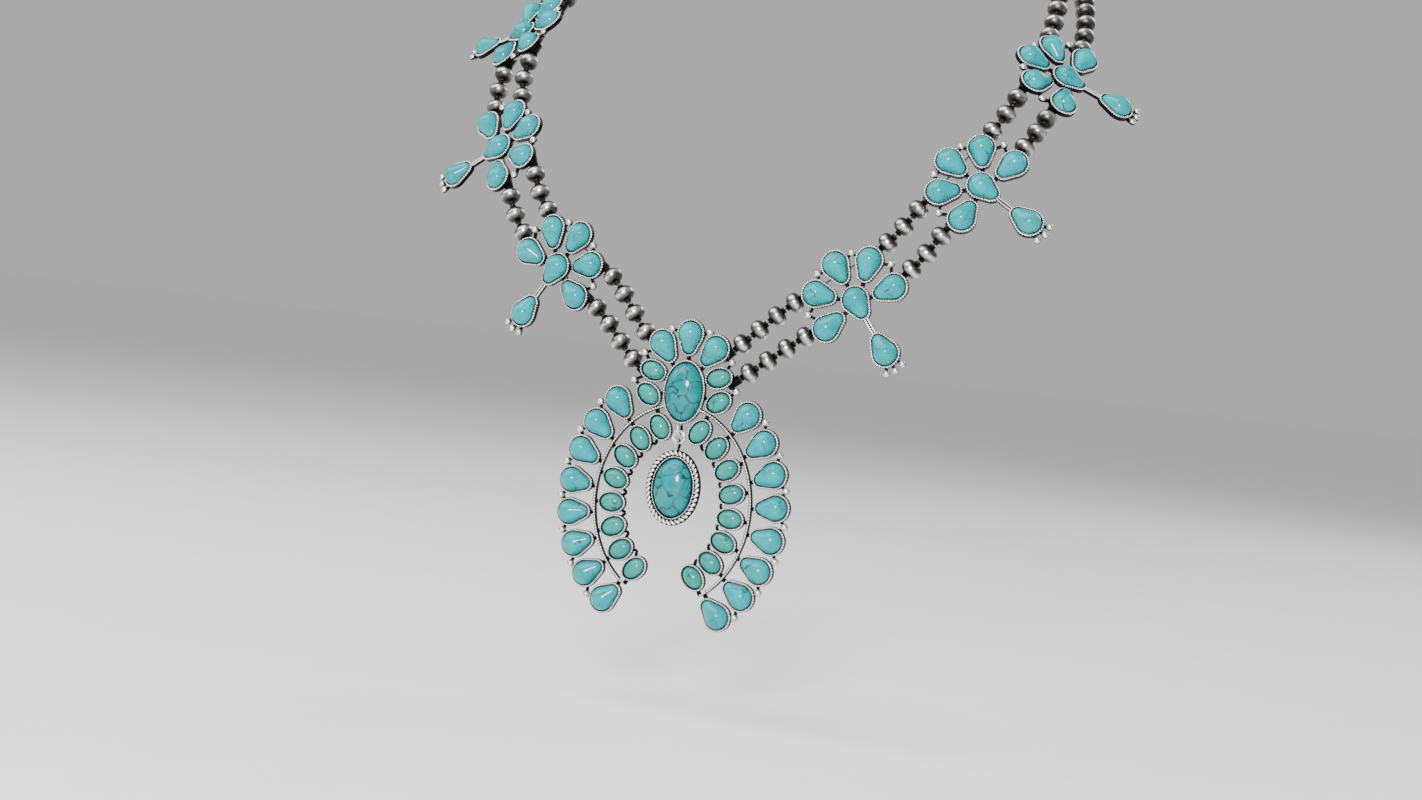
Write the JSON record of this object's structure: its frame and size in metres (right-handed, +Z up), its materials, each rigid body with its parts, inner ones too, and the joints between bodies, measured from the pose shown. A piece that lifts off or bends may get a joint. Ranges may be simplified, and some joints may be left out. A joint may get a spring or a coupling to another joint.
{
  "type": "squash blossom necklace",
  "caption": "Two-strand silver bead necklace with turquoise blossoms and a horseshoe pendant that holds a free-hanging oval drop, kept in its worn form.",
  "frame": {"origin": "nape: middle of the clasp at the back of the neck, between the two strands", "axes": "+Z up, -Y towards the wearer's front, +X to the right in a view of the front"},
  "size_m": [0.249, 0.1495, 0.2578],
  "materials": {
    "silver": "satin",
    "bead_silver": "satin",
    "turquoise": "gloss",
    "green_turquoise": "gloss",
    "thread": "matte"
  },
  "bodies": {
    "necklace": {"naja_frame": "silver", "naja_center_stone": "turquoise", "naja_crown_pear_stones": "turquoise", "naja_crown_oval_stones": "green_turquoise", "naja_outer_stones_left": "turquoise", "naja_outer_stones_right": "turquoise", "naja_inner_stones_left": "green_turquoise", "naja_inner_stones_right": "green_turquoise", "blossom_left_1_frame": "silver", "blossom_left_1_center_stone": "turquoise", "blossom_left_1_petal_stones": "turquoise", "blossom_left_1_drop_stone": "turquoise", "blossom_left_2_frame": "silver", "blossom_left_2_center_stone": "turquoise", "blossom_left_2_petal_stones": "turquoise", "blossom_left_2_drop_stone": "turquoise", "blossom_left_3_frame": "silver", "blossom_left_3_center_stone": "turquoise", "blossom_left_3_petal_stones": "turquoise", "blossom_left_3_drop_stone": "turquoise", "blossom_right_1_frame": "silver", "blossom_right_1_center_stone": "turquoise", "blossom_right_1_petal_stones": "turquoise", "blossom_right_1_drop_stone": "turquoise", "blossom_right_2_frame": "silver", "blossom_right_2_center_stone": "turquoise", "blossom_right_2_petal_stones": "turquoise", "blossom_right_2_drop_stone": "turquoise", "blossom_right_3_frame": "silver", "blossom_right_3_center_stone": "turquoise", "blossom_right_3_petal_stones": "turquoise", "blossom_right_3_drop_stone": "turquoise", "beads_left_upper_front": "bead_silver", "beads_left_upper_back": "bead_silver", "beads_left_lower_front": "bead_silver", "beads_left_lower_back": "bead_silver", "beads_right_upper_front": "bead_silver", "beads_right_upper_back": "bead_silver", "beads_right_lower_front": "bead_silver", "beads_right_lower_back": "bead_silver", "thread_left_upper": "thread", "thread_left_lower": "thread", "thread_right_upper": "thread", "thread_right_lower": "thread", "clasp": "silver"},
    "drop_link": {"drop_ring": "silver"},
    "drop": {"drop_frame": "silver", "drop_stone": "turquoise"}
  },
  "joints": [
    {"name": "link_swing", "type": "hinge", "parent": "necklace", "child": "drop_link", "pos_m": [0, -0.1405, -0.1874], "axis": [0, 1, 0], "range_deg": [-10, 10]},
    {"name": "drop_swing", "type": "hinge", "parent": "drop_link", "child": "drop", "pos_m": [0, -0.1405, -0.19028], "axis": [1, 0, 0], "range_deg": [-60, 45]}
  ]
}
